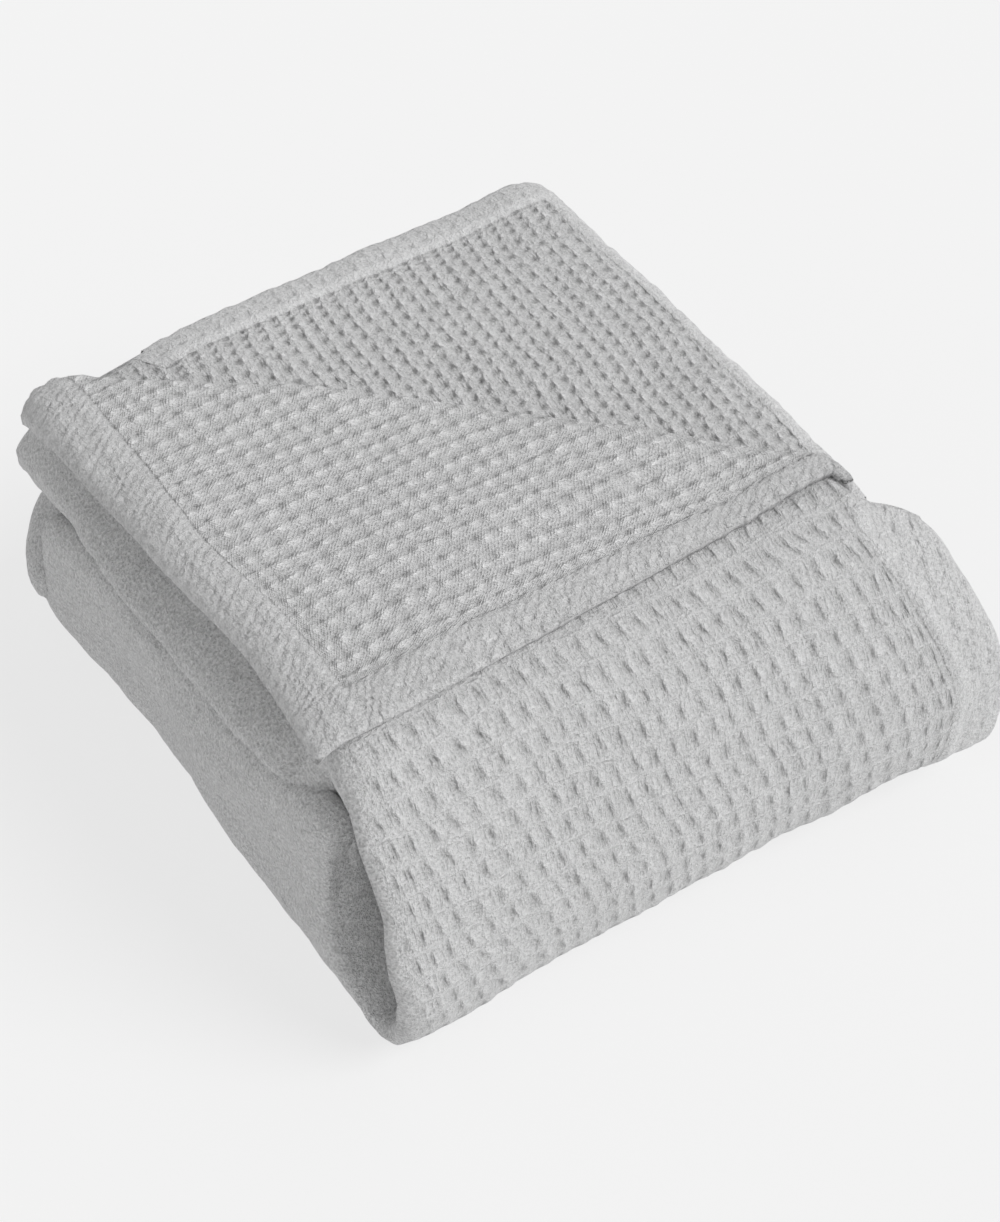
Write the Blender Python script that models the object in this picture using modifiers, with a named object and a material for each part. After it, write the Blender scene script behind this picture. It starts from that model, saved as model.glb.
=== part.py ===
"""A waffle weave cotton blanket, folded lengthwise and then in thirds, with one corner turned back.

The cloth is one sheet. It is folded lengthwise into eight plies, all their closed edges on the
left but for three loops on the right. This bundle runs forward along the top, down over the
front, back along the bottom, round the back and forward again in the middle. The top ply's far
right corner is turned back along a diagonal, so its two hems lie along the left and the front.

Tables are in millimetres. X runs along the front, Y to the back, Z up from the ground.
"""

import math

import bmesh
import bpy
from mathutils import Vector, noise

MM = 0.001

# Cloth
PLY = 5.6  # thickness of the loose waffle weave
HEM_PLY = 7.4  # thickness where a hem is turned
HEM_WIDTH = 26.0
FRONT_HEM_WIDTH = 37.0  # the same hem, drawn out where it flares
HEM_STEP = 2.5  # the hem's stitched line, from the raised band to the plain cloth
PLIES = 8
FLAP_PITCH = 7.8  # from the top ply to the corner turned back over it
FLAP_OVERHANG = (3.5, 8.0)  # how far that corner's left edge reaches out, at the front and back
FLAP_DEPTH = 300.0
FLAP_TURNS = (50.0, 0.0, -50.0)  # the points round its fold, degrees from level
NARROW_BAND = 0.6  # the hem's share, and its step's, where the corner is narrower than the hem
NARROW_STEP = 0.1
FIN_LEAN = 4.0  # how far forward a fin leans for each ply of its height
CLOTH_COLOUR = (0.60, 0.60, 0.60, 1.0)
CLOTH_ROUGHNESS = 0.95

# The bundle's way through the stack. Each row is one section across the plies: where its
# outermost and innermost plies lie, how far its left edge is a thin lip (0 to 1) or reaches up
# over the pass above (fin, 0 to 1), how far its left loops are set back, and where the outermost
# ply ends on the right.
# outer_y, outer_z, inner_y, inner_z, lip, fin, set_back, reach
TOP_PASS = (
    (304.0, 196.0, 342.0, 115.0, 0.0, 0.0, -7.0, 0.0),
    (290.0, 202.5, 324.0, 123.5, 0.0, 0.0, -6.0, 0.0),
    (276.0, 204.5, 303.0, 127.0, 0.0, 0.0, -5.0, 0.0),
    (272.0, 204.6, 298.0, 127.5, 0.0, 0.0, -4.5, 0.0),
    (205.0, 204.5, 218.0, 128.5, 0.0, 0.0, -2.0, 0.0),
    (138.0, 204.0, 145.0, 130.0, 0.0, 0.0, -2.0, 0.0),
    (72.0, 204.0, 84.0, 131.0, 0.0, 0.0, 0.0, 0.0),
    (14.0, 203.5, 44.0, 131.0, 0.10, 0.0, 1.0, 0.0),
    (11.0, 203.2, 38.0, 131.0, 0.15, 0.0, 1.0, 0.0),
    (-2.0, 201.5, 22.0, 130.5, 0.30, 0.0, 1.0, 0.0),
    (-12.5, 198.0, 11.0, 129.5, 0.50, 0.0, 2.0, 0.0),
)
FRONT = (
    (-33.0, 184.0, -3.0, 126.0, 0.80, 0.0, 3.0, 354.0),
    (-50.0, 164.0, -11.0, 120.0, 1.0, 0.0, 2.0, 364.0),
    (-63.0, 139.0, -15.0, 112.0, 1.0, 0.0, 1.0, 373.0),
    (-72.0, 110.0, -17.5, 102.0, 1.0, 0.0, 0.0, 380.0),
    (-77.0, 79.0, -18.5, 91.0, 1.0, 0.0, 0.0, 385.0),
    (-77.0, 49.0, -18.0, 80.0, 1.0, 0.0, 0.0, 387.0),
    (-72.0, 22.0, -16.0, 70.0, 1.0, 0.0, 0.0, 384.0),
    (-60.0, 7.0, -12.5, 63.0, 1.0, 0.0, 0.0, 374.0),
    (-44.0, 2.8, -9.0, 60.0, 0.9, 0.0, 0.0, 364.0),
)
BOTTOM_PASS = (
    (-28.0, 2.8, -5.0, 59.4, 0.40, 0.50, 0.0, 356.0),
    (-8.0, 2.8, 1.0, 59.0, 0.0, 1.0, 0.0, 350.0),
    (50.0, 2.8, 52.0, 58.8, 0.0, 1.0, 0.0, 342.0),
    (120.0, 2.8, 120.0, 58.2, 0.0, 1.0, -2.0, 338.0),
    (190.0, 2.8, 190.0, 57.6, 0.0, 1.0, -4.0, 335.0),
    (256.0, 2.8, 256.0, 56.8, 0.0, 1.0, -6.0, 333.0),
    (284.0, 2.8, 284.0, 56.5, 0.0, 1.0, -7.0, 332.0),
)
MIDDLE_PASS = (
    (240.0, 118.2, 240.0, 64.6, 0.0, 0.0, 25.0, 330.0),
    (160.0, 119.6, 160.0, 65.4, 0.0, 0.0, 25.0, 331.0),
    (84.0, 121.2, 84.0, 66.2, 0.0, 0.0, 25.0, 329.0),
    (40.0, 122.0, 36.0, 67.0, 0.0, 0.0, 25.0, 329.0),
    (20.0, 121.0, 8.0, 68.0, 0.0, 0.0, 25.0, 329.0),
)

# The bend round the back, about its axis
BACK_AXIS = (302.0, 60.2)  # y, z
BACK_INNER = 3.9
BACK_OUTER = 57.4
# angle from level, degrees; fin, set_back, reach
BACK_BEND = (
    (-90.0, 0.8, -8.0, 331.0),
    (-55.0, 0.0, -8.0, 331.0),
    (-20.0, 0.0, -8.0, 332.0),
    (15.0, 0.0, -6.0, 332.0),
    (50.0, 0.0, 4.0, 331.0),
    (90.0, 0.0, 18.0, 330.0),
)

# Left loops, in the order in which the cloth runs through them. Each row is one point of the
# fold: its x, and its level counted in plies from the innermost, as a full round edge, as a thin
# lip, and as an edge that reaches over the next pass.
# round_x, round_level, lip_x, lip_level, fin_x, fin_level
LOOP_1_TO_8 = (
    (34.0, 7.0, 10.0, 7.0, 15.0, 7.0),
    (20.0, 6.75, 2.5, 6.85, 3.0, 6.4),
    (10.0, 5.9, 0.0, 6.45, -3.0, 4.2),
    (4.0, 4.6, 3.0, 6.05, -5.0, 0.2),
    (-1.0, 3.2, 16.0, 5.95, -4.5, -4.4),
    (-3.0, 1.7, 32.0, 5.6, 0.5, -7.1),
    (0.5, 0.4, 38.0, 4.0, 9.0, -7.6),
    (12.0, -0.15, 41.0, 1.5, 11.5, -3.4),
    (30.0, 0.0, 54.0, 0.0, 23.0, 0.0),
)
LOOP_7_TO_2 = (
    (24.0, 1.0, 58.0, 1.0, 16.0, 1.0),
    (12.0, 1.5, 48.0, 1.6, 7.5, 1.6),
    (7.0, 2.6, 45.0, 2.8, 4.0, 2.7),
    (8.0, 3.9, 45.0, 4.0, 4.0, 4.1),
    (14.0, 5.1, 46.5, 5.0, 7.0, 5.3),
    (27.0, 5.85, 52.0, 5.8, 15.0, 5.92),
    (42.0, 6.0, 62.0, 6.0, 26.0, 6.0),
)
LOOP_3_TO_6 = (
    (36.0, 5.0, 64.0, 5.0, 26.0, 5.0),
    (24.0, 4.6, 56.0, 4.6, 16.0, 4.6),
    (17.0, 3.6, 53.0, 3.6, 12.5, 3.5),
    (18.0, 2.6, 55.0, 2.5, 15.0, 2.4),
    (28.0, 2.0, 63.0, 2.0, 25.0, 2.0),
)
LOOP_5_TO_4 = (
    (40.0, 3.0, 68.0, 3.0, 32.0, 3.0),
    (31.0, 3.08, 63.5, 3.08, 24.5, 3.08),
    (27.5, 3.5, 61.0, 3.5, 21.5, 3.5),
    (31.0, 3.92, 63.5, 3.92, 24.5, 3.92),
    (40.0, 4.0, 68.0, 4.0, 32.0, 4.0),
)

# Right loops: x, level
LOOP_8_TO_5 = (
    (314.0, 0.0),
    (326.0, 0.3),
    (331.0, 1.5),
    (326.0, 2.7),
    (314.0, 3.0),
)
LOOP_4_TO_3 = (
    (311.0, 4.0),
    (320.0, 4.08),
    (324.0, 4.5),
    (320.0, 4.92),
    (311.0, 5.0),
)
LOOP_6_TO_7 = (
    (303.0, 2.0),
    (311.0, 1.92),
    (315.0, 1.5),
    (311.0, 1.08),
    (303.0, 1.0),
)

INNER_X = (165.0,)  # where a hidden ply has its point

# The ply under the outermost one, which shows at the back. Levels are counted in plies.
SECOND_X = (105.0, 150.0, 195.0, 240.0, 282.0, 316.0, 332.0, 341.0)
SECOND_EDGE = 316.0
SECOND_LEVEL = 6.22
SECOND_RISE = 0.55
SECOND_DROP = 0.7

# The fold of the corner that is turned back: y, x
DIAGONAL = (
    (-20.0, 329.0),
    (11.0, 321.0),
    (57.0, 276.0),
    (99.0, 237.0),
    (143.0, 185.0),
    (199.0, 127.0),
    (235.0, 89.0),
    (267.0, 44.0),
    (284.0, 31.0),
    (298.0, 23.0),
)
SPREAD = (0.75, 0.5, 0.25)  # where the outer ply has its points, as shares of its plain part
FOLDED_SHARES = (1.0, 0.96, 0.90, 0.85)  # and near its diagonal fold
FOLD_ROOM = 12.0  # between that fold and the left loop, at the back
BARE_FROM = 12.0  # the next ply rises this far right of the fold, and over the next span
BARE_SPAN = 45.0

# The slack of real cloth
SWELL_SIZE = (95.0, 95.0, 120.0)
SWELL_UP = 3.0
SWELL_OUT = 4.0
SWAY_SIZE = (80.0, 60.0, 200.0)  # along Y, Z and X
SWAY = 5.0
WAVE_SIZE = 70.0
WAVE_UP = 2.5
FRONT_EDGE = 30.0  # the front is pushed out in front of this y
FRONT_DEPTH = 90.0
FRONT_TUCK = 7.0  # how far its left end is drawn in
BELLY = 22.0  # how far its right end stands out
BELLY_FROM = 120.0
BELLY_WIDTH = 270.0
BELLY_TOP = 218.0
BELLY_FADE = 45.0
GROUND_FADE = 40.0  # up to this height the ground holds the cloth
STACK_HEIGHT = 215.0
CORNER_RISE = 14.0  # how much higher the far right corner is
CORNER_AT = (341.0, 300.0)  # its x and y
CORNER_POWER = 1.5
LOOP_WANDER = 4.0  # how far the right loops wander
LOOP_WANDER_STEP = 1.7
LOOP_ROOM_STEP = 1.5  # how much further from the diagonal fold each point of the left loop is
HEM_ROWS = 3  # sections, or points of a section, across a hem
FOLD_POINTS = 4  # the flap's last points, which have no hem
GROUNDED = 0.9  # what is lower than this lies on the ground


def lerp(a, b, share):
    return a + (b - a) * share


def clamp(value):
    return max(0.0, min(1.0, value))


def read_table(rows, at):
    """The value beside at in rows of (place, value), which rise."""
    for (a, low), (b, high) in zip(rows, rows[1:]):
        if at <= b:
            return lerp(low, high, clamp((at - a) / (b - a)))
    return rows[-1][1]


def back_bend():
    """The sections round the back, like those of the tables."""
    rows = []
    for angle, fin, set_back, reach in BACK_BEND:
        c, s = math.cos(math.radians(angle)), math.sin(math.radians(angle))
        y, z = BACK_AXIS
        outer = (y + BACK_OUTER * c, z + BACK_OUTER * s)
        inner = (y + BACK_INNER * c, z + BACK_INNER * s)
        rows.append((*outer, *inner, 0.0, fin, set_back, reach))
    return tuple(rows)


def left_loop(rows, lip, fin, set_back):
    """A left loop's points (x, level) where the edge is that much a lip or a fin."""
    points = []
    for round_x, round_level, lip_x, lip_level, fin_x, fin_level in rows:
        plain = 1.0 - lip - fin
        x = plain * round_x + lip * lip_x + fin * fin_x
        level = plain * round_level + lip * lip_level + fin * fin_level
        points.append((x + set_back, level))
    return points


def right_loop(rows, shift):
    return [(x + shift, level) for x, level in rows]


def outer_ply(right, left):
    """The outermost ply's points from its right edge, with its hem's band and step."""
    seam = right - FRONT_HEM_WIDTH
    hem = [right, right - FRONT_HEM_WIDTH / 2, seam, seam - HEM_STEP]
    plain = [lerp(left, hem[-1], share) for share in SPREAD]
    return [(x, PLIES - 1.0) for x in hem + plain]


def second_ply(fold):
    """The next ply's points. Right of the fold it lies bare, so it rises, and its edge hangs."""
    points = []
    for x in SECOND_X:
        bare = clamp((x - fold - BARE_FROM) / BARE_SPAN)
        hang = max(0.0, (x - SECOND_EDGE) / (SECOND_X[-1] - SECOND_EDGE))
        level = SECOND_LEVEL + SECOND_RISE * bare - SECOND_DROP * hang ** 2
        points.append((x, level))
    return points


def folded_ply(fold, left):
    """The outermost ply's points from the diagonal fold, none of them right of it."""
    turn = fold - FLAP_PITCH / 2
    shares = FOLDED_SHARES + tuple(FOLDED_SHARES[-1] * share for share in SPREAD)
    return [(lerp(left, turn, share), PLIES - 1.0) for share in shares]


def section(row, shift, flap):
    """All points of one section in the order of the cloth, from the right edge of its outermost
    ply to that of the next, as (x, level)."""
    outer_y, lip, fin, set_back, reach = row[0], *row[4:]
    outer_loop = left_loop(LOOP_1_TO_8, lip, fin, set_back)
    fold = read_table(DIAGONAL, outer_y) if flap else reach
    if flap:
        for i, (x, level) in enumerate(outer_loop[:HEM_ROWS]):
            outer_loop[i] = (min(x, fold - FOLD_ROOM - LOOP_ROOM_STEP * i), level)
        points = folded_ply(fold, outer_loop[0][0])
    else:
        points = outer_ply(reach, outer_loop[0][0])
    hidden = list(INNER_X)
    points += outer_loop
    points += [(x, 0.0) for x in hidden]
    points += right_loop(LOOP_8_TO_5, shift)
    points += [(x, 3.0) for x in reversed(hidden)]
    points += left_loop(LOOP_5_TO_4, lip, fin, set_back)
    points += [(x, 4.0) for x in hidden]
    points += right_loop(LOOP_4_TO_3, -shift)
    points += [(x, 5.0) for x in reversed(hidden)]
    points += left_loop(LOOP_3_TO_6, lip, fin, set_back)
    points += [(x, 2.0) for x in hidden]
    points += right_loop(LOOP_6_TO_7, shift)
    points += [(x, 1.0) for x in reversed(hidden)]
    points += left_loop(LOOP_7_TO_2, lip, fin, set_back)
    points += second_ply(fold)
    return points


def flap_section(row):
    """The turned-back corner's points (x, height over the outermost ply), from its left edge to
    its diagonal fold."""
    fold = read_table(DIAGONAL, row[0])
    turn = fold - FLAP_PITCH / 2
    band = min(HEM_WIDTH, NARROW_BAND * turn)
    step = min(HEM_STEP, NARROW_STEP * turn)
    xs = [0.0, band / 2, band, band + step]
    xs += [lerp(turn, xs[-1], share) for share in SPREAD] + [turn]
    overhang = lerp(*FLAP_OVERHANG, clamp(row[0] / FLAP_DEPTH))
    points = [(x - overhang * (1.0 - x / turn), FLAP_PITCH) for x in xs]
    for angle in FLAP_TURNS:
        c, s = math.cos(math.radians(angle)), math.sin(math.radians(angle))
        points.append((turn + c * FLAP_PITCH / 2, FLAP_PITCH / 2 * (1.0 + s)))
    return points


def uneven(p):
    """The slack of real cloth: a slow drift of the whole stack that keeps its plies apart."""
    x, y, z = p
    swell = noise.noise(Vector([value / size for value, size in zip(p, SWELL_SIZE)]))
    sway = noise.noise(Vector([value / size for value, size in zip((y, z, x), SWAY_SIZE)]))
    front = clamp((FRONT_EDGE - y) / FRONT_DEPTH)
    right = max(0.0, (x - BELLY_FROM) / BELLY_WIDTH)
    low = clamp(z / GROUND_FADE)
    belly = BELLY * low * right * clamp((BELLY_TOP - z) / BELLY_FADE)
    wave = WAVE_UP * math.sin(x / WAVE_SIZE) * (1.0 - front)
    corner = clamp(x / CORNER_AT[0]) * clamp(y / CORNER_AT[1])
    rise = CORNER_RISE * corner ** CORNER_POWER
    y += front * (FRONT_TUCK - belly + SWELL_OUT * swell * low)
    x += SWAY * sway * low
    z += z / STACK_HEIGHT * (SWELL_UP * swell + wave + rise)
    return Vector((x, y, z)) * MM


def place(row, x, level):
    """The point of a section at x and level."""
    outer_y, outer_z, inner_y, inner_z = row[:4]
    share = level / (PLIES - 1)
    y = lerp(inner_y, outer_y, share) + FIN_LEAN * min(0.0, level)
    return uneven((x, y, lerp(inner_z, outer_z, share)))


def place_flap(row, x, height):
    """The point of the flap that far over the outermost ply."""
    outer_y, outer_z, inner_y, inner_z = row[:4]
    out = Vector((outer_y - inner_y, outer_z - inner_z)).normalized()
    return uneven((x, outer_y + out.x * height, outer_z + out.y * height))


def skin(bm, lines):
    """Quads between each line of points and the next."""
    for near, far in zip(lines, lines[1:]):
        for a, b, c, d in zip(near, near[1:], far[1:], far):
            bm.faces.new((a, b, c, d))


def cloth_surface(bm):
    """The whole sheet's middle surface. Returns its vertices by line, and the flap's."""
    rows = TOP_PASS + FRONT + BOTTOM_PASS + back_bend() + MIDDLE_PASS
    flaps = len(TOP_PASS)
    lines, corner = [], []
    for i, row in enumerate(rows):
        shift = LOOP_WANDER * math.sin(LOOP_WANDER_STEP * i)
        points = section(row, shift, i < flaps)
        lines.append([bm.verts.new(place(row, x, level)) for x, level in points])
        if i < flaps:
            turned = [bm.verts.new(place_flap(row, x, h)) for x, h in flap_section(row)]
            corner.append(turned + [lines[-1][0]])
    skin(bm, lines)
    skin(bm, corner)
    return lines, corner


def hem_shares(lines, corner):
    """How much of a hem each vertex is, from 0 to 1: both ends of the cloth, its long edge on the
    front, and the flap's left and front bands."""
    shares = {}
    plain = len(TOP_PASS)
    for i, line in enumerate(lines):
        for j, v in enumerate(line):
            end = i < HEM_ROWS or i == len(lines) - 1
            side = (i >= plain and j < HEM_ROWS) or j >= len(line) - 2
            shares[v] = 1.0 if end or side else 0.0
    for i, line in enumerate(corner):
        for j, v in enumerate(line[:-1]):
            end = i < HEM_ROWS or i >= len(corner) - HEM_ROWS
            band = (end or j < HEM_ROWS) and j < len(line) - FOLD_POINTS
            shares[v] = 1.0 if band else shares.get(v, 0.0)
    return shares


def press_flat(mesh):
    """The underside lies flat on the ground."""
    for v in mesh.vertices:
        if v.co.z < GROUNDED * MM:
            v.co.z = 0.0


def cloth_material():
    material = bpy.data.materials.new("cotton")
    material.use_nodes = True
    shader = material.node_tree.nodes["Principled BSDF"]
    shader.inputs["Base Color"].default_value = CLOTH_COLOUR
    shader.inputs["Roughness"].default_value = CLOTH_ROUGHNESS
    shader.inputs["Metallic"].default_value = 0.0
    material.diffuse_color = CLOTH_COLOUR
    return material


def add_blanket(collection):
    mesh = bpy.data.meshes.new("blanket")
    blanket = bpy.data.objects.new("blanket", mesh)
    collection.objects.link(blanket)
    bm = bmesh.new()
    lines, corner = cloth_surface(bm)
    shares = hem_shares(lines, corner)
    bm.verts.index_update()
    weights = [(v.index, share) for v, share in shares.items()]
    bm.to_mesh(mesh)
    bm.free()
    group = blanket.vertex_groups.new(name="hem")
    for index, share in weights:
        group.add([index], share, "REPLACE")
    solid = blanket.modifiers.new("thickness", "SOLIDIFY")
    solid.thickness = HEM_PLY * MM
    solid.offset = 0.0
    solid.vertex_group = group.name
    solid.thickness_vertex_group = PLY / HEM_PLY
    bpy.context.view_layer.objects.active = blanket
    bpy.ops.object.modifier_apply(modifier=solid.name)
    press_flat(blanket.data)
    blanket.data.materials.append(cloth_material())
    return blanket


def centre_on_ground(blanket):
    """Places the blanket so that the middle of its box's underside is the origin."""
    corners = [v.co for v in blanket.data.vertices]
    blanket.location = (
        -(min(c.x for c in corners) + max(c.x for c in corners)) / 2,
        -(min(c.y for c in corners) + max(c.y for c in corners)) / 2,
        0.0,
    )


def main():
    for old in list(bpy.data.objects):
        bpy.data.objects.remove(old, do_unlink=True)
    collection = bpy.data.collections.new("folded_blanket")
    bpy.context.scene.collection.children.link(collection)
    blanket = add_blanket(collection)
    centre_on_ground(blanket)


main()
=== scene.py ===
"""The folded waffle weave blanket as it looks: one sheet of cloth on the frame's folds, woven on
its face with brick-set blocks and pits and on its reverse with short floats, its hems turned and
stitched. Tables are in millimetres. A place counts a section's points along the cloth, from the
flap's free edge to the second ply's, and a row counts the sections, from the back of the top pass
down round the front."""

import math

import bmesh
import bpy
import numpy as np
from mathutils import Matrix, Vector, noise


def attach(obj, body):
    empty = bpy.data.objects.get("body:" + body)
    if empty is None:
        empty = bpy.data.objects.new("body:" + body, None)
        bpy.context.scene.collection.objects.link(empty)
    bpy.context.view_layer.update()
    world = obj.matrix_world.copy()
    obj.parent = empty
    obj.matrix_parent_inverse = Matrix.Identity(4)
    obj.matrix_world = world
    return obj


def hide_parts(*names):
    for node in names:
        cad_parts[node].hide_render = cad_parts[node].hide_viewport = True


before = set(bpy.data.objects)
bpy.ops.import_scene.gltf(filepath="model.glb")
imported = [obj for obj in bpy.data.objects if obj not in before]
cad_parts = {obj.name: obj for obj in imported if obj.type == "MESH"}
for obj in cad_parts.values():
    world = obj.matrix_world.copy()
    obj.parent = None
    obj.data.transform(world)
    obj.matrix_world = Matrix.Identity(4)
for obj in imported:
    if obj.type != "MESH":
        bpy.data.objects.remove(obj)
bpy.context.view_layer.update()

MM = 0.001
SHIFT = (-186.54, -132.66, 0.0)  # from the tables' origin to the row's

# Cloth
PLY = 5.0
HEM_PLY = 6.8
HEM_WIDTH = 26.0
FRONT_HEM_WIDTH = 37.0
HEM_STEP = 2.5
STITCH_IN = 1.5  # how far a seam lies from the section beside it
PLIES = 8
FLAP_PITCH = 7.8
# How far the flap's edge hangs out to the left, and where its hem is sewn, by outer_y
FLAP_OVERHANG = (
    (-12.0, 3.0),
    (0.0, 3.5),
    (40.0, 2.5),
    (75.0, 0.5),
    (110.0, 1.5),
    (145.0, 3.0),
    (185.0, 6.0),
    (222.0, 9.5),
    (255.0, 12.0),
    (300.0, 12.0),
)
FLAP_SEAM = ((0.0, 27.0), (75.0, 24.0), (150.0, 20.5), (300.0, 19.5))
FLAP_TURNS = (50.0, 0.0, -50.0)
NARROW_BAND = 0.6
NARROW_STEP = 0.1
FIN_LEAN = 4.0

# outer_y, outer_z, inner_y, inner_z, lip, fin, set_back, reach
TOP_PASS = (
    (304.0, 196.0, 342.0, 115.0, 0.0, 0.0, 1.0, 0.0),
    (290.0, 202.5, 324.0, 123.5, 0.0, 0.0, 0.0, 0.0),
    (276.0, 204.5, 303.0, 127.0, 0.0, 0.0, -1.0, 0.0),
    (272.0, 204.6, 298.0, 127.5, 0.0, 0.0, -1.0, 0.0),
    (205.0, 204.5, 218.0, 128.5, 0.0, 0.0, -2.0, 0.0),
    (138.0, 204.0, 145.0, 130.0, 0.0, 0.0, -2.0, 0.0),
    (72.0, 204.0, 84.0, 131.0, 0.0, 0.0, 0.0, 0.0),
    (14.0, 203.5, 44.0, 131.0, 0.10, 0.0, 1.0, 0.0),
    (11.0, 203.2, 38.0, 131.0, 0.15, 0.0, 1.0, 0.0),
    (-2.0, 201.5, 22.0, 130.5, 0.30, 0.0, 1.0, 0.0),
    (-12.5, 198.0, 11.0, 129.5, 0.50, 0.0, 2.0, 0.0),
)
FRONT = (
    (-33.0, 184.0, -3.0, 126.0, 0.80, 0.0, 3.0, 354.0),
    (-50.0, 164.0, -11.0, 120.0, 1.0, 0.0, 2.0, 364.0),
    (-63.0, 139.0, -15.0, 112.0, 1.0, 0.0, 1.0, 373.0),
    (-72.0, 110.0, -17.5, 102.0, 1.0, 0.0, 0.0, 380.0),
    (-77.0, 79.0, -18.5, 91.0, 1.0, 0.0, 0.0, 385.0),
    (-77.0, 49.0, -18.0, 80.0, 1.0, 0.0, 0.0, 387.0),
    (-72.0, 22.0, -16.0, 70.0, 1.0, 0.0, 0.0, 384.0),
    (-60.0, 7.0, -12.5, 63.0, 1.0, 0.0, 0.0, 374.0),
    (-44.0, 2.8, -9.0, 60.0, 0.80, 0.12, 0.0, 364.0),
)
BOTTOM_PASS = (
    (-28.0, 2.8, -5.0, 59.4, 0.20, 0.78, 0.0, 356.0),
    (-8.0, 2.8, 1.0, 59.0, 0.0, 1.0, 0.0, 350.0),
    (50.0, 2.8, 52.0, 58.8, 0.0, 1.0, 0.0, 342.0),
    (120.0, 2.8, 120.0, 58.2, 0.0, 1.0, 1.0, 338.0),
    (190.0, 2.8, 190.0, 57.6, 0.0, 1.0, 3.0, 335.0),
    (256.0, 2.8, 256.0, 56.8, 0.0, 1.0, 1.0, 333.0),
    (284.0, 2.8, 284.0, 56.5, 0.0, 1.0, -3.0, 332.0),
)
MIDDLE_PASS = (
    (240.0, 118.2, 240.0, 64.6, 0.0, 0.0, 25.0, 330.0),
    (160.0, 119.6, 160.0, 65.4, 0.0, 0.0, 25.0, 331.0),
    (84.0, 121.2, 84.0, 66.2, 0.0, 0.0, 25.0, 329.0),
    (40.0, 122.0, 36.0, 67.0, 0.0, 0.0, 25.0, 329.0),
    (20.0, 121.0, 8.0, 68.0, 0.0, 0.0, 25.0, 329.0),
)
BACK_AXIS = (302.0, 60.2)
BACK_INNER = 3.9
BACK_OUTER = 57.4
# angle, fin, set_back, reach
BACK_BEND = (
    (-90.0, 0.8, -6.0, 331.0),
    (-55.0, 0.0, -9.0, 331.0),
    (-20.0, 0.0, -9.0, 332.0),
    (15.0, 0.0, -3.0, 332.0),
    (50.0, 0.0, 14.0, 331.0),
    (90.0, 0.0, 22.0, 330.0),
)

# round_x, round_level, lip_x, lip_level, fin_x, fin_level
LOOP_1_TO_8 = (
    (34.0, 7.0, 10.0, 7.0, 15.0, 7.0),
    (20.0, 6.75, 2.5, 6.85, 3.0, 6.4),
    (10.0, 5.9, 0.0, 6.45, -3.0, 4.2),
    (4.0, 4.6, 3.0, 6.05, -5.0, 0.2),
    (-1.0, 3.2, 16.0, 5.95, -4.5, -4.4),
    (-3.0, 1.7, 32.0, 5.6, 0.5, -7.1),
    (0.5, 0.4, 38.0, 4.0, 9.0, -7.6),
    (12.0, -0.15, 41.0, 1.5, 11.5, -3.4),
    (30.0, 0.0, 54.0, 0.0, 23.0, 0.0),
)
LOOP_7_TO_2 = (
    (24.0, 1.0, 58.0, 1.0, 16.0, 1.0),
    (12.0, 1.5, 48.0, 1.6, 7.5, 1.6),
    (7.0, 2.6, 45.0, 2.8, 4.0, 2.7),
    (8.0, 3.9, 45.0, 4.0, 4.0, 4.1),
    (14.0, 5.1, 46.5, 5.0, 7.0, 5.3),
    (27.0, 5.85, 52.0, 5.8, 15.0, 5.92),
    (42.0, 6.0, 62.0, 6.0, 26.0, 6.0),
)
LOOP_3_TO_6 = (
    (36.0, 5.0, 64.0, 5.0, 26.0, 5.0),
    (24.0, 4.6, 56.0, 4.6, 16.0, 4.6),
    (17.0, 3.6, 53.0, 3.6, 12.5, 3.5),
    (18.0, 2.6, 55.0, 2.5, 15.0, 2.4),
    (28.0, 2.0, 63.0, 2.0, 25.0, 2.0),
)
LOOP_5_TO_4 = (
    (40.0, 3.0, 68.0, 3.0, 32.0, 3.0),
    (31.0, 3.08, 63.5, 3.08, 24.5, 3.08),
    (27.5, 3.5, 61.0, 3.5, 21.5, 3.5),
    (31.0, 3.92, 63.5, 3.92, 24.5, 3.92),
    (40.0, 4.0, 68.0, 4.0, 32.0, 4.0),
)
LOOP_8_TO_5 = ((314.0, 0.0), (326.0, 0.3), (331.0, 1.5), (326.0, 2.7), (314.0, 3.0))
LOOP_4_TO_3 = ((311.0, 4.0), (320.0, 4.08), (324.0, 4.5), (320.0, 4.92), (311.0, 5.0))
LOOP_6_TO_7 = ((303.0, 2.0), (311.0, 1.92), (315.0, 1.5), (311.0, 1.08), (303.0, 1.0))
INNER_X = (165.0,)
SECOND_X = (105.0, 150.0, 195.0, 240.0, 282.0, 316.0, 332.0, 341.0)
SECOND_SEAM = 330.0
SECOND_EDGE = 316.0
SECOND_LEVEL = 6.22
SECOND_RISE = 0.55
SECOND_DROP = 0.7
DIAGONAL = (
    (-20.0, 329.0),
    (11.0, 321.0),
    (57.0, 276.0),
    (99.0, 237.0),
    (143.0, 185.0),
    (199.0, 127.0),
    (235.0, 89.0),
    (267.0, 44.0),
    (284.0, 31.0),
    (298.0, 23.0),
)
SPREAD = (0.75, 0.5, 0.25)
FOLDED_SHARES = (1.0, 0.96, 0.90, 0.85)
FOLD_ROOM = 12.0
FOLD_ROOM_STEP = 1.5
BARE_FROM = 12.0
BARE_SPAN = 45.0

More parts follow.
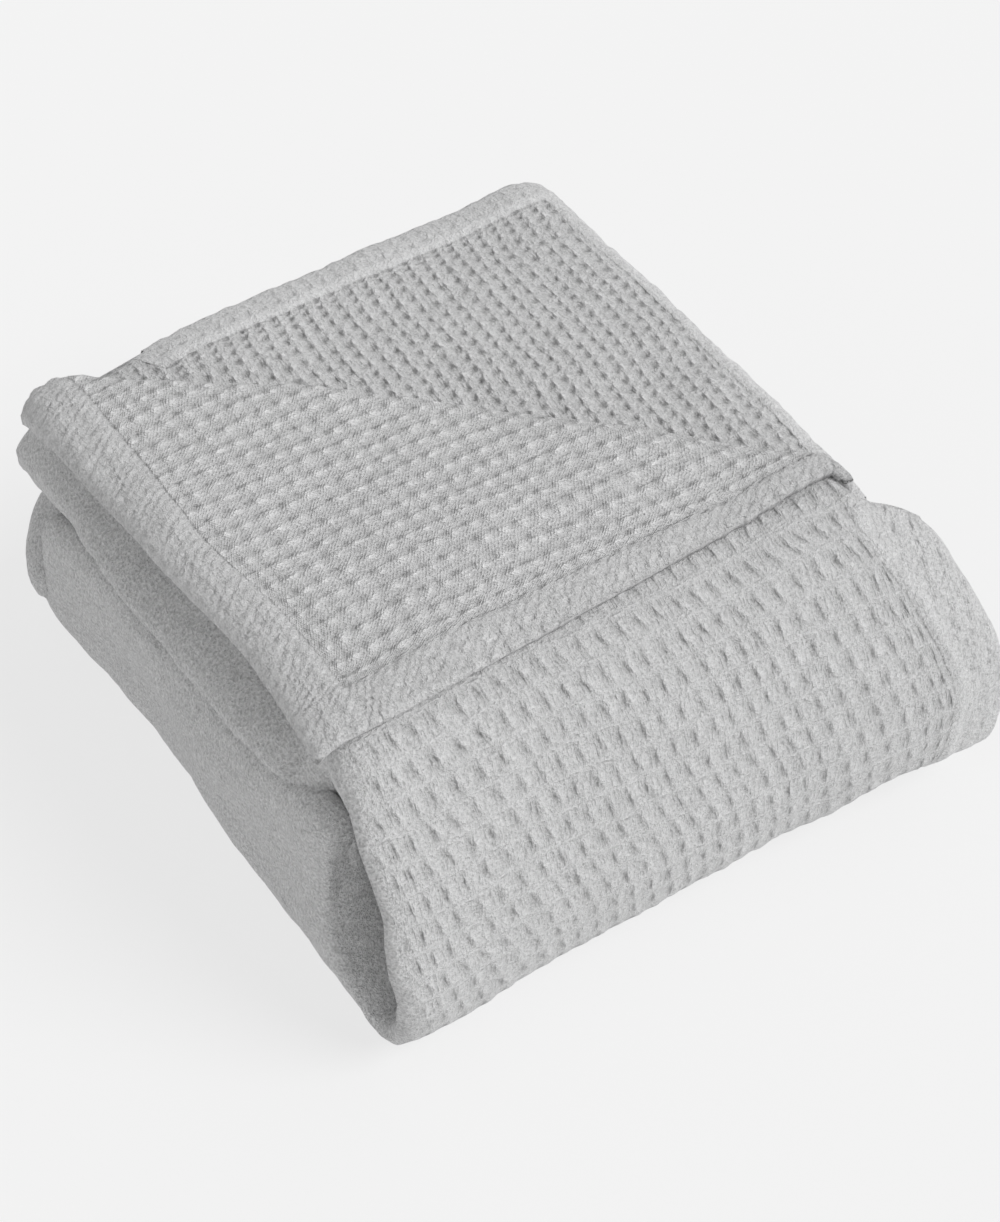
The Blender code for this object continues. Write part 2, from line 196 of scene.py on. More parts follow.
SWELL_SIZE = (95.0, 95.0, 120.0)
SWELL_UP = 3.0
SWELL_OUT = 4.0
SWAY_SIZE = (80.0, 60.0, 200.0)
SWAY = 5.0
WAVE_SIZE = 70.0
WAVE_UP = 2.5
FRONT_EDGE = 30.0
FRONT_DEPTH = 90.0
FRONT_TUCK = 7.0
BELLY = 22.0
BELLY_FROM = 120.0
BELLY_WIDTH = 270.0
BELLY_TOP = 218.0
BELLY_FADE = 45.0
GROUND_FADE = 40.0
STACK_HEIGHT = 215.0
CORNER_RISE = 14.0
CORNER_AT = (341.0, 300.0)
CORNER_POWER = 1.5
LOOP_WANDER = 4.0
LOOP_WANDER_STEP = 1.7

# The flap's front edge draws back towards its right end
PULL_BACK = 15.0
PULL_FROM = 90.0
PULL_TO = 320.0
PULL_PLACES = 4
# Its left rim hangs over, twice as far at the far corner, which is rounded
RIM_FROM = 15.0
RIM_DROP = 7.0
RIM_CORNER_FROM = 235.0
RIM_CORNER_SPAN = 60.0
CORNER_ROUND = 11.0
CORNER_EDGE = 8.0
CORNER_SPAN = 30.0
# Under that rim the fold below is drawn in or bulges out: at a height, over a height, by how much
HOLLOW = (
    (177.0, 13.0, 25.0),
    (148.0, 8.0, -5.0),
)
HOLLOW_SHARE = ((0.0, 0.4), (40.0, 1.0), (200.0, 1.0), (290.0, 0.3))
HOLLOW_FADE = 60.0
HOLLOW_ROWS = 2.0
# The top pass's fold reaches lowest near the front, at these places of the loop
LOW_PLACES = (4.5, 9.5)
LOW_ROW = 8.5
LOW_SPREAD = 1.6
LOW_DROP = 15.0
# The bottom pass's edge stands up against the middle one: where, how far it rises and leans back
CREST_FIRST_PLACE = 2
CREST_FIRST_ROW = 18
CREST_FROM = 60.0
CREST_HEIGHT = 50.0
CREST_ROW = 21.3
CREST_SPREAD = 1.5
CREST_RISE = 30.0
CREST_BACK = (24.5, 28.0)
CREST_BACK_ROWS = 2.0
CREST_LEAN = 30.0

# Mesh: how long its edges are, and how much longer an edge may be before it is halved
FINE = 3.3
SIDE = 5.5
COARSE = 24.0
FAR = 10.0
LONGEST = 1.4
HALVINGS = 8
KNOT_POWER = 0.7
SHORTEST_STEP = 0.05
RIM_ROUND = 3.2  # how far in from an edge the cloth is at its full thickness
RIM_THINNING = 0.93
HEM_FADE = 1.2
SATURATED = 30.0
NO_SEAM = 99.0
SEAM_LIMIT = 60.0

# Weave: a repeat's width and height, how far each row is shifted and a row leans, in repeats
FACE = (11.8, 16.8, 0.38, 0.27)
PITTED = (10.0, 8.9, -0.07, 0.0)
REVERSE = (11.3, 11.1, 0.0, 0.0)
IS_FACE, IS_PITTED, IS_REVERSE, IS_CALM = range(4)
RIB = 6.3
RIB_LEAN = 0.9
# Relief in the mesh: heights, and where beside a seam and how wide
FACE_RELIEF = 0.5
FACE_CREST = 0.35
FACE_SPREAD = 0.33
PITTED_RELIEF = 0.35
REVERSE_RELIEF = 0.12
HEM_FROM = -1.0
HEM_RELIEF_FADE = 1.5
HEM_FLATNESS = 0.6
RIB_RELIEF = 0.2
REVERSE_RIB_RELIEF = 0.4
RIDGE = 0.9
RIDGE_AT = -5.0
RIDGE_WIDTH = 3.5
GROOVE_WIDTH = 1.8
PUCKER = 0.5
PUCKER_AT = 5.0
PUCKER_WIDTH = 5.0
PUCKER_LENGTH = 14.0
SLACK = ((1.6, 34.0), (0.9, 13.0))
SLACK_SHIFT = (7.0, 3.0, 1.0)

# Look, in metres. A part of a repeat: where it is across and along, its width and its height in
# repeats, and what it adds to the cloth's relief and to its painted shade: slits, pits and hollows
# are painted darker, blocks, nubs and floats lighter
FACE_PARTS = (
    (0.0, 0.0, 0.095, 0.24, -0.6, 0.07),  # slit
    (0.24, 0.0, 0.17, 0.30, 1.1, -0.13),  # block
    (0.0, 0.0, 0.17, 0.34, 0.0, 0.19),  # shadow about the slit
)
PITTED_PARTS = (
    (0.0, 0.0, 0.22, 0.25, -1.9, 0.37),  # pit
    (0.34, -0.08, 0.13, 0.26, 1.7, -0.24),  # nub
)
REVERSE_PARTS = (
    (0.0, 0.0, 0.25, 0.20, 2.2, -0.32),  # float
    (0.62, -0.26, 0.20, 0.15, -1.1, 0.26),  # hollow below it
)
BETWEEN_WIDTH = 0.13
# What else adds to the relief and to the colour: the threads, painted lighter where they stand up,
# random fuzz, grain and lumps, the stitches' line, painted shade in their groove, and a lighter
# strip beside it
BETWEEN = (0.6, -0.04)
FACE_THREADS = (2.4, -0.35)
PITTED_THREADS = (2.0, -0.35)
REVERSE_THREADS = (1.4, -0.45)
REVERSE_CROSS = (0.26, -0.05)
FUZZ_ADDS = (1.0, -0.55)
GRAIN_ADDS = (1.7, -0.75)
LUMPS_ADD = (0.7, 0.0)
LINE_ADDS = (-0.8, 0.20)
BESIDE_ADDS = (0.35, -0.05)
THREAD_WIDTH = 0.0011
THREAD_LENGTH = 0.0042
THREAD_SCALE = 0.55
CROSS_ACROSS = 0.0020
CROSS_ALONG = 0.0023
# Noise: scale and seed, and how far the weave wanders by it
WANDER_ACROSS = ((30.0, 1.0, 0.006), (110.0, 2.0, 0.0024))
WANDER_ALONG = ((30.0, 5.0, 0.005), (110.0, 6.0, 0.0024))
FUZZ = (1500.0, 9.0)
GRAIN = (620.0, 11.0)
LUMPS = (190.0, 13.0)
TONE_DRIFT = (14.0, 17.0)
UPRIGHT_SEED = 21.0
LEVEL_SEED = 23.0
TONE_DRIFT_SHARE = 0.06
# How much of the weave is worn off on the folds, and how much lumps and grain show there
CALM = 0.76
CALM_LUMPS = 0.20
CALM_GRAIN = 0.55
# Hem: how high its ribs are on the face, the pitted ply and the reverse, and how rough it is
HEM_RIBS = (0.20, 0.05, 0.28)
HEM_PITS = 0.42
HEM_THREADS = 0.6
HEM_START = (0.0008, -0.0012)
HEM_ROUGH = (-0.006, -0.011)
# Painted light on the hems of the face and painted shade on those of the reverse
HEM_PAINTED_LIGHT_AND_SHADE = (0.10, -0.07)  # on the face and on the reverse
STITCH_WIDTH = 0.0008
STITCH_PITCH = 0.0034
LINE_DEPTH = 0.7
LINE_THREADS = 0.15
LINE_LUMPS = 1.6
BESIDE_AT = -0.0045
BESIDE_WIDTH = 0.0030
CLOTH_TONE = (0.638, 0.638, 0.64)
LIGHTER = 0.05  # the reverse and the pitted ply than the face
BUMP = 0.0011

# Floor, light and camera; the camera's target is in the tables' millimetres
WHITE = (1.0, 1.0, 1.0, 1.0)
FLOOR_SIZE = 6.0
FLOOR_DROP = 0.0005
FLOOR_TONE = 0.22
FLOOR_GLOW = 0.675
SUN_ENERGY = 1.7
SUN_ANGLE = 32.0
SUN_FROM = (0.46, -0.55, 0.70)
WORLD_STRENGTH = 0.56
AZIMUTH = 34.51
ELEVATION = 47.0
LENS = 79.2
SENSOR = 36.0
TARGET = (114.8, 9.8, 215.0)
DISTANCE = 1.084


def lerp(a, b, share):
    return a + (b - a) * share


def clamp(value):
    return max(0.0, min(1.0, value))


def ramp(values, start, span):
    return np.clip((values - start) / span, 0, 1)


def bell(values, width):
    return np.exp(-(values / width) ** 2)


def read_all(rows, at):
    """What a table of pairs says at each of those values."""
    return np.interp(at, *zip(*rows))


def interpolate(values, at):
    """What a list says at places between its entries."""
    return np.interp(at, np.arange(len(values)), values)


def on_hem(seam, fade):
    """From 0 off a hem to 1 on it."""
    return 1.0 / (1.0 + np.exp(np.clip(seam / fade, -SATURATED, SATURATED)))


def read_table(rows, at):
    """What a table of pairs says at that value."""
    for (a, low), (b, high) in zip(rows, rows[1:]):
        if at <= b:
            return lerp(low, high, clamp((at - a) / (b - a)))
    return rows[-1][1]


def back_bend():
    rows = []
    for angle, fin, set_back, reach in BACK_BEND:
        c, s = math.cos(math.radians(angle)), math.sin(math.radians(angle))
        y, z = BACK_AXIS
        outer = (y + BACK_OUTER * c, z + BACK_OUTER * s)
        inner = (y + BACK_INNER * c, z + BACK_INNER * s)
        rows.append((*outer, *inner, 0.0, fin, set_back, reach))
    return tuple(rows)


ROWS = TOP_PASS + FRONT + BOTTOM_PASS + back_bend() + MIDDLE_PASS
FLAP_ROWS = len(TOP_PASS)


def left_loop(rows, lip, fin, set_back):
    points = []
    for round_x, round_level, lip_x, lip_level, fin_x, fin_level in rows:
        plain = 1.0 - lip - fin
        x = plain * round_x + lip * lip_x + fin * fin_x
        level = plain * round_level + lip * lip_level + fin * fin_level
        points.append((x + set_back, level))
    return points


def right_loop(rows, shift):
    return [(x + shift, level) for x, level in rows]


def outer_ply(right, left):
    seam = right - FRONT_HEM_WIDTH
    hem = [right, right - FRONT_HEM_WIDTH / 2, seam, seam - HEM_STEP]
    plain = [lerp(left, hem[-1], share) for share in SPREAD]
    return [(x, PLIES - 1.0) for x in hem + plain]


def folded_ply(fold, left):
    turn = fold - FLAP_PITCH / 2
    shares = FOLDED_SHARES + tuple(FOLDED_SHARES[-1] * share for share in SPREAD)
    return [(lerp(left, turn, share), PLIES - 1.0) for share in shares]


def second_ply(fold):
    points = []
    for x in SECOND_X:
        bare = clamp((x - fold - BARE_FROM) / BARE_SPAN)
        hang = max(0.0, (x - SECOND_EDGE) / (SECOND_X[-1] - SECOND_EDGE))
        points.append((x, SECOND_LEVEL + SECOND_RISE * bare - SECOND_DROP * hang ** 2))
    return points


def section(row, shift, flap):
    """A section's points (x, level), from the outer ply round every fold to the second ply."""
    outer_y, lip, fin, set_back, reach = row[0], *row[4:]
    outer_loop = left_loop(LOOP_1_TO_8, lip, fin, set_back)
    fold = read_table(DIAGONAL, outer_y) if flap else reach
    if flap:
        for i in range(3):
            x, level = outer_loop[i]
            outer_loop[i] = (min(x, fold - FOLD_ROOM - FOLD_ROOM_STEP * i), level)
        points = folded_ply(fold, outer_loop[0][0])
    else:
        points = outer_ply(reach, outer_loop[0][0])
    hidden = list(INNER_X)
    points += outer_loop
    points += [(x, 0.0) for x in hidden]
    points += right_loop(LOOP_8_TO_5, shift)
    points += [(x, 3.0) for x in reversed(hidden)]
    points += left_loop(LOOP_5_TO_4, lip, fin, set_back)
    points += [(x, 4.0) for x in hidden]
    points += right_loop(LOOP_4_TO_3, -shift)
    points += [(x, 5.0) for x in reversed(hidden)]
    points += left_loop(LOOP_3_TO_6, lip, fin, set_back)
    points += [(x, 2.0) for x in hidden]
    points += right_loop(LOOP_6_TO_7, shift)
    points += [(x, 1.0) for x in reversed(hidden)]
    points += left_loop(LOOP_7_TO_2, lip, fin, set_back)
    points += second_ply(fold)
    return points


def flap_section(row):
    fold = read_table(DIAGONAL, row[0])
    turn = fold - FLAP_PITCH / 2
    overhang = read_table(FLAP_OVERHANG, row[0])
    band = min(read_table(FLAP_SEAM, row[0]) + overhang, NARROW_BAND * turn)
    step = min(HEM_STEP, NARROW_STEP * turn)
    xs = [0.0, band / 2, band, band + step]
    xs += [lerp(turn, xs[-1], share) for share in SPREAD] + [turn]
    points = [(x - overhang * (1.0 - x / turn), FLAP_PITCH) for x in xs]
    for angle in FLAP_TURNS:
        c, s = math.cos(math.radians(angle)), math.sin(math.radians(angle))
        points.append((turn + c * FLAP_PITCH / 2, FLAP_PITCH / 2 * (1.0 + s)))
    return points


FLAP_POINTS = len(flap_section(TOP_PASS[0]))


def place(row, x, level):
    outer_y, outer_z, inner_y, inner_z = row[:4]
    share = level / (PLIES - 1)
    y = lerp(inner_y, outer_y, share) + FIN_LEAN * min(0.0, level)
    return (x, y, lerp(inner_z, outer_z, share))


def place_flap(row, x, height):
    outer_y, outer_z, inner_y, inner_z = row[:4]
    out = Vector((outer_y - inner_y, outer_z - inner_z)).normalized()
    return (x, outer_y + out.x * height, outer_z + out.y * height)


def control_points():
    """The sections' points as an array of row by place by x, y, z and the cloth's own coordinates:
    across, along its section, and along the bundle. The first places are the flap's, and all in
    one point in the rows that have none."""
    along = 0.0
    table = []
    for i, row in enumerate(ROWS):
        shift = LOOP_WANDER * math.sin(LOOP_WANDER_STEP * i)
        points = [place(row, x, level) for x, level in section(row, shift, i < FLAP_ROWS)]
        if i:
            along += math.dist(row[:2], ROWS[i - 1][:2])
        if i < FLAP_ROWS:
            turned = [place_flap(row, x, h) for x, h in flap_section(row)]
        else:
            turned = [points[0]] * FLAP_POINTS
        table.append([(*p, along) for p in turned + points])
    table = np.array(table)
    across = cloth_across(table)
    return np.concatenate([table[:, :, :3], across[:, :, None], table[:, :, 3:]], 2)


LOOP_START = FLAP_POINTS + 7  # the left loop's first place
SECOND_START = -len(SECOND_X) - 3  # from the last place: where across is x again


def cloth_across(table):
    """Where each place is along its section: x on the plies that show, and the way round beyond."""
    across = table[:, :, 0].copy()
    steps = np.linalg.norm(np.diff(table[:, :, :3], axis=1), axis=2)
    for k in range(LOOP_START + 1, table.shape[1] + SECOND_START):
        across[:, k] = across[:, k - 1] - steps[:, k - 1]
    return across


CONTROL = control_points()
LAST_ROW, LAST_PLACE = CONTROL.shape[0] - 1, CONTROL.shape[1] - 1
LOOP_END = LOOP_START + len(LOOP_1_TO_8)
SECOND_PLACE = LAST_PLACE - len(SECOND_X)  # the last place before the second ply
ALONG = CONTROL[:, -1, 4]
REACH = [row[7] or ROWS[FLAP_ROWS][7] for row in ROWS]
# The rows in which the hems at the back of the second ply and at the flap's front are sewn
SECOND_SEAM_ROW, FLAP_SEAM_ROW = 3, 7


def through(p0, p1, p2, p3, t):
    """A curve through p1 and p2 that allows for uneven spacing."""
    h0, h1, h2 = (
        np.maximum(np.linalg.norm((b - a)[:, :3], axis=1), SHORTEST_STEP)[:, None] ** KNOT_POWER
        for a, b in ((p0, p1), (p1, p2), (p2, p3))
    )
    m1 = ((p1 - p0) / h0 * h1 + (p2 - p1) / h1 * h0) / (h0 + h1) * h1
    m2 = ((p2 - p1) / h1 * h2 + (p3 - p2) / h2 * h1) / (h1 + h2) * h1
    t = t[:, None]
    t2, t3 = t * t, t * t * t
    ends = (2 * t3 - 3 * t2 + 1) * p1 + (t3 - 2 * t2 + t) * m1
    return ends + (3 * t2 - 2 * t3) * p2 + (t3 - t2) * m2


def on_flap(u):
    return u < FLAP_POINTS - 1e-6


def along_section(rows, u):
    """The curve through each row's control points at u."""
    first = np.where(rows < FLAP_ROWS, 0, FLAP_POINTS)
    i = np.clip(np.floor(u).astype(int), first, LAST_PLACE - 1)
    t = u - i
    p1, p2 = CONTROL[rows, i], CONTROL[rows, i + 1]
    p0 = np.where((i > first)[:, None], CONTROL[rows, np.maximum(i - 1, 0)], 2 * p1 - p2)
    after = CONTROL[rows, np.minimum(i + 2, LAST_PLACE)]
    p3 = np.where((i < LAST_PLACE - 1)[:, None], after, 2 * p2 - p1)
    out = through(p0, p1, p2, p3, t)
    out[:, 3:] = p1[:, 3:] + (p2 - p1)[:, 3:] * t[:, None]
    return out


def surface(u, v):
    """x, y, z, across and along at places u and rows v."""
    last = np.where(on_flap(u), FLAP_ROWS - 1, LAST_ROW)
    j = np.clip(np.floor(v).astype(int), 0, last - 1)
    t = v - j
    q1, q2 = along_section(j, u), along_section(j + 1, u)
    q0 = np.where((j > 0)[:, None], along_section(np.maximum(j - 1, 0), u), 2 * q1 - q2)
    q3 = np.where((j < last - 1)[:, None], along_section(np.minimum(j + 2, last), u), 2 * q2 - q1)
    out = through(q0, q1, q2, q3, t)
    out[:, 3:] = q1[:, 3:] + (q2 - q1)[:, 3:] * t[:, None]
    return out


def uneven(p):
    """The point, moved as a soft stack of cloth is off its straight lines."""
    x, y, z = p
    swell = noise.noise(Vector([value / size for value, size in zip(p, SWELL_SIZE)]))
    sway = noise.noise(Vector([value / size for value, size in zip((y, z, x), SWAY_SIZE)]))
    front = clamp((FRONT_EDGE - y) / FRONT_DEPTH)
    right = max(0.0, (x - BELLY_FROM) / BELLY_WIDTH)
    low = clamp(z / GROUND_FADE)
    belly = BELLY * low * right * clamp((BELLY_TOP - z) / BELLY_FADE)
    wave = WAVE_UP * math.sin(x / WAVE_SIZE) * (1.0 - front)
    corner = clamp(x / CORNER_AT[0]) * clamp(y / CORNER_AT[1])
    rise = CORNER_RISE * corner ** CORNER_POWER
    y += front * (FRONT_TUCK - belly + SWELL_OUT * swell * low)
    x += SWAY * sway * low
    z += z / STACK_HEIGHT * (SWELL_UP * swell + wave + rise)
    return (x, y, z)


def wanted_size(u, v):
    """How long an edge is to be there, in millimetres: fine where the camera sees the weave."""
    if u < FLAP_POINTS - 0.5:
        return FINE
    if u < LOOP_START:
        if v < FLAP_ROWS - 1.2:
            return COARSE
        return FINE if v < FLAP_ROWS + len(FRONT) + 0.5 else FAR
    if u < LOOP_END - 0.5:
        return SIDE if v < LAST_ROW - 1 else COARSE
    if u > SECOND_PLACE + 0.5 and v < FLAP_ROWS - 1:
        return FINE
    return COARSE


def plain_grid():
    """The cloth in (place, row) coordinates, one face for each cell of the control points."""
    bm = bmesh.new()
    grid = {}
    for j in range(LAST_ROW + 1):
        for i in range(0 if j < FLAP_ROWS else FLAP_POINTS, LAST_PLACE + 1):
            grid[i, j] = bm.verts.new((i, j, 0.0))
    for (i, j), v in list(grid.items()):
        corners = [grid.get(key) for key in ((i, j), (i + 1, j), (i + 1, j + 1), (i, j + 1))]
        if all(corners):
            bm.faces.new(corners)
    return bm


def refine(bm):
    """Halves edges until none is longer than is wanted beside it."""
    for _ in range(HALVINGS):
        bm.verts.index_update()
        bm.edges.ensure_lookup_table()
        places = np.array([v.co[:2] for v in bm.verts])
        points = surface(places[:, 0], places[:, 1])[:, :3]
        ends = np.array([[v.index for v in e.verts] for e in bm.edges])
        lengths = np.linalg.norm(points[ends[:, 0]] - points[ends[:, 1]], axis=1)
        split = []
        for e, length in zip(bm.edges, lengths):
            if length < FINE * LONGEST:
                continue
            want = min(wanted_size(*f.calc_center_median()[:2]) for f in e.link_faces)
            if length > want * LONGEST:
                split.append(e)
        if not split:
            break
        bmesh.ops.subdivide_edges(bm, edges=split, cuts=1, use_grid_fill=True)


def pull_back(u, v):
    """The flap's rows, drawn back from the front towards the right."""
    back = PULL_BACK * ramp(surface(u, v)[:, 0], PULL_FROM, PULL_TO - PULL_FROM)
    along = interpolate(ALONG[:FLAP_ROWS], v)
    start, end = ALONG[SECOND_SEAM_ROW], ALONG[FLAP_SEAM_ROW]
    near = ramp(along, start, end - start)
    fold = np.clip((FLAP_POINTS - 1 - u) / PULL_PLACES, 0, 1)
    moved = np.interp(along - back * near * fold, ALONG[:FLAP_ROWS], np.arange(FLAP_ROWS))
    return np.where(on_flap(u), moved, v)


def lower_rim(u, found):
    """Lets the flap's left rim hang over, and rounds its far corner."""
    flap = on_flap(u)
    x, y, along = found[:, 0], found[:, 1], found[:, 4]
    from_edge = x + read_all(FLAP_OVERHANG, y)
    hang = np.where(flap, np.clip(1.0 - from_edge / RIM_FROM, 0, None) ** 2, 0.0)
    found[:, 2] -= RIM_DROP * hang * (1.0 + ramp(y, RIM_CORNER_FROM, RIM_CORNER_SPAN))
    near = np.clip(1.0 - along / CORNER_ROUND, 0, 1)
    near = near * np.clip(1.0 - (x + CORNER_EDGE) / CORNER_SPAN, 0, 1)
    found[:, 0] += np.where(flap, CORNER_ROUND * near ** 1.5, 0.0)


def lower_fold(u, v, found):
    """Lets the top pass's left fold reach lower near the front."""
    start, end = LOW_PLACES
    low = (u > LOOP_START + start) & (u < LOOP_START + end) & (v < FLAP_ROWS)
    found[:, 2] -= np.where(low, LOW_DROP * bell(v - LOW_ROW, LOW_SPREAD), 0.0)


def draw_in(u, v, found):
    """Makes the valley under the flap's rim and the bulge below it."""
    share = np.clip((FLAP_ROWS - 0.5 - v) / HOLLOW_ROWS, 0, 1)
    share = share * np.clip(1.0 - found[:, 0] / HOLLOW_FADE, 0, 1)
    share *= read_all(HOLLOW_SHARE, found[:, 1])
    drawn = sum(far * bell(found[:, 2] - at, high) for at, high, far in HOLLOW)
    found[:, 0] += np.where(on_flap(u), 0.0, drawn * share)


def raise_crest(u, v, found):
    """Raises the bottom pass's edge at the front and leans it back at its far end."""
    loop = (u > LOOP_START + CREST_FIRST_PLACE) & (u < LOOP_END - 0.5)
    crest = loop & (found[:, 2] > CREST_FROM) & (v > CREST_FIRST_ROW)
    height = np.where(crest, ramp(found[:, 2], CREST_FROM, CREST_HEIGHT), 0.0)
    found[:, 2] += CREST_RISE * height * bell(v - CREST_ROW, CREST_SPREAD)
    start, end = CREST_BACK
    lean = CREST_LEAN * height * ramp(v, start, CREST_BACK_ROWS)
    found[:, 1] += lean * np.clip(end - v, 0, 1)


def seam_distance(u, v, found):
    """How far each place is from the nearest hem's stitches, in millimetres, below 0 on the hem."""
    x, along, reach = found[:, 0], interpolate(ALONG, v), interpolate(REACH, v)
    flap = u < FLAP_POINTS - 1.5
    front = (u < LOOP_START + 2) & (v >= FLAP_ROWS - 1) & ~flap
    second = (u > SECOND_PLACE) & (v < FLAP_ROWS)
    flap_front = ALONG[FLAP_SEAM_ROW] + STITCH_IN - along
    seam = np.full(len(u), NO_SEAM)
    seam = np.where(flap, np.minimum(x - read_all(FLAP_SEAM, found[:, 1]), flap_front), seam)
    seam = np.where(front, reach - FRONT_HEM_WIDTH - x, seam)
    second_back = along - ALONG[SECOND_SEAM_ROW] + STITCH_IN
    return np.where(second, np.minimum(second_back, SECOND_SEAM - x), seam)


def edge_distance(u, v, found):
    """How far in from the cloth's visible edges, in millimetres."""
    x, along, reach = found[:, 0], interpolate(ALONG, v), interpolate(REACH, v)
    edge = np.minimum(along, ALONG[-1] - along)
    flap = u < FLAP_POINTS - 0.5
    left = interpolate((0.0, HEM_WIDTH / 2, HEM_WIDTH), u)
    edge = np.where(flap, np.minimum(edge, np.minimum(left, ALONG[FLAP_ROWS - 1] - along)), edge)
    ply = (u > FLAP_POINTS - 0.5) & (u < LOOP_START) & (v >= FLAP_ROWS)
    edge = np.where(ply, np.minimum(edge, reach - x), edge)
    return np.where(u > LAST_PLACE - 3, np.minimum(edge, SECOND_X[-1] - x), edge)


def repeat_place(across, along, size):
    """The distances from a repeat's middle, in repeats."""
    width, height, shift, lean = size
    row = np.floor(along / height)
    q = along / height - row - 0.5
    p = across / width - shift * row - lean * q
    return p - np.round(p), q


def relief(across, along, seam, kind):
    """How far the cloth stands out, in millimetres: its weave, its hems' ribs and its puckers."""
    turn = 2 * np.pi
    p, q = repeat_place(across, along, FACE)
    face = FACE_RELIEF * np.cos(turn * (p - FACE_CREST)) * bell(q, FACE_SPREAD)
    p, q = repeat_place(across, along, PITTED)
    pitted = -PITTED_RELIEF * (np.cos(turn * p) + np.cos(turn * q))
    p, q = repeat_place(across, along, REVERSE)
    back = REVERSE_RELIEF * np.cos(turn * p) + REVERSE_RELIEF * np.cos(turn * q)
    woven = np.choose(kind, (face, pitted, back, 0.0 * face))
    band = on_hem(seam - HEM_FROM, HEM_RELIEF_FADE)
    ribs = np.where(kind == IS_REVERSE, REVERSE_RIB_RELIEF, RIB_RELIEF)
    ribs = ribs * np.sin(turn * (along + across * RIB_LEAN) / (2 * RIB))
    ridge = RIDGE * bell(seam - RIDGE_AT, RIDGE_WIDTH) - RIDGE * bell(seam, GROOVE_WIDTH)
    pucker = PUCKER * bell(seam - PUCKER_AT, PUCKER_WIDTH)
    pucker = pucker * np.sin(turn * (along - across) / PUCKER_LENGTH)
    return woven * (1.0 - HEM_FLATNESS * band) + ribs * band + ridge + pucker


def slack(p):
    """The cloth's own small unevenness there, in millimetres."""
    spot = Vector(p)
    (wide, wide_size), (narrow, narrow_size) = SLACK
    other = spot / narrow_size + Vector(SLACK_SHIFT)
    return wide * noise.noise(spot / wide_size) + narrow * noise.noise(other)


def cloth_kinds(u):
    """Which look the weave has at each place; it is worn calm on the folds and hidden plies."""
    kind = np.full(len(u), IS_FACE)
    kind[u > SECOND_PLACE - 0.5] = IS_PITTED
    kind[u < FLAP_POINTS - 2.5] = IS_REVERSE
    kind[(u > LOOP_START + 0.5) & (u < SECOND_PLACE - 0.5)] = IS_CALM
    return kind


def outward_signs(bm, kind, v):
    """Which way the side that shows lies from the mesh's normals, by kind of cloth."""
    z = interpolate([row[1] - row[3] for row in ROWS], v)
    y = interpolate([row[0] - row[2] for row in ROWS], v)
    normals = np.array([vert.normal for vert in bm.verts])
    outward = normals[:, 1] * y + normals[:, 2] * z
    signs = np.ones(len(kind))
    for k in (IS_FACE, IS_PITTED, IS_REVERSE):
        signs[kind == k] = 1.0 if outward[kind == k].sum() > 0 else -1.0
    signs[kind == IS_CALM] = signs[kind == IS_FACE][0]
    return signs


def store(mesh, name, values):
    layer = mesh.attributes.new(name, "FLOAT", "POINT")
    layer.data.foreach_set("value", np.asarray(values, dtype=np.float32))


def unwrap(bm, found):
    """The cloth's own coordinates, in metres, as the map that the weave follows."""
    layer = bm.loops.layers.uv.new("weave")
    for f in bm.faces:
        f.smooth = True
        for loop in f.loops:
            across, along = found[loop.vert.index, 3:5]
            loop[layer].uv = (across * MM, along * MM)


def thicken(cloth, share):
    """Gives the sheet that share of a hem's thickness at each vertex, to both sides."""
    group = cloth.vertex_groups.new(name="thickness")
    for i, weight in enumerate(share):
        group.add([i], float(weight), "REPLACE")
    solid = cloth.modifiers.new("thickness", "SOLIDIFY")
    solid.thickness = HEM_PLY * MM
    solid.offset = 0.0
    solid.vertex_group = group.name
    bpy.context.view_layer.objects.active = cloth
    bpy.ops.object.modifier_apply(modifier=solid.name)
    for vert in cloth.data.vertices:
        vert.co.z = max(vert.co.z, 0.0)


def add_cloth():
    bm = plain_grid()
    refine(bm)
    bm.verts.index_update()
    places = np.array([v.co[:2] for v in bm.verts])
    u, v = places[:, 0], places[:, 1]
    v = pull_back(u, v)
    found = surface(u, v)
    lower_rim(u, found)
    lower_fold(u, v, found)
    draw_in(u, v, found)
    raise_crest(u, v, found)
    for vert, p in zip(bm.verts, found):
        vert.co = Vector(uneven(p[:3])) * MM + Vector(SHIFT) * MM
    bm.normal_update()
    kind = cloth_kinds(u)
    seam = seam_distance(u, v, found)
    fine = np.array([wanted_size(*place) < COARSE for place in places])
    bumps = relief(found[:, 3], found[:, 4], seam, kind) + np.array([slack(p[:3]) for p in found])
    high = bumps * outward_signs(bm, kind, v) * np.where(fine, 1.0, 0.0)
    normals = [vert.normal.copy() for vert in bm.verts]
    for vert, normal, h in zip(bm.verts, normals, high):
        vert.co += normal * h * MM
    unwrap(bm, found)
    mesh = bpy.data.meshes.new("blanket_cloth")
    bm.to_mesh(mesh)
    bm.free()
    store(mesh, "pitted", np.clip(u - (SECOND_PLACE - 1.0), 0, 1))
    store(mesh, "reverse", np.clip(FLAP_POINTS - 1.5 - u, 0, 1))
    store(mesh, "calm", np.clip(np.minimum(u - LOOP_START, SECOND_PLACE + 0.5 - u), 0, 1))
    store(mesh, "seam", np.clip(seam, -SEAM_LIMIT, SEAM_LIMIT) * MM)
    cloth = bpy.data.objects.new("blanket_cloth", mesh)
    bpy.context.scene.collection.objects.link(cloth)
    thin = PLY / HEM_PLY
    full = thin + (1.0 - thin) * on_hem(seam, HEM_FADE)
    inward = np.clip(edge_distance(u, v, found) / RIM_ROUND, 0.0, 1.0)
    thicken(cloth, full * np.sqrt(1.0 - (1.0 - inward) ** 2 * RIM_THINNING))
    return cloth


# ---------------------------------------------------------------- material

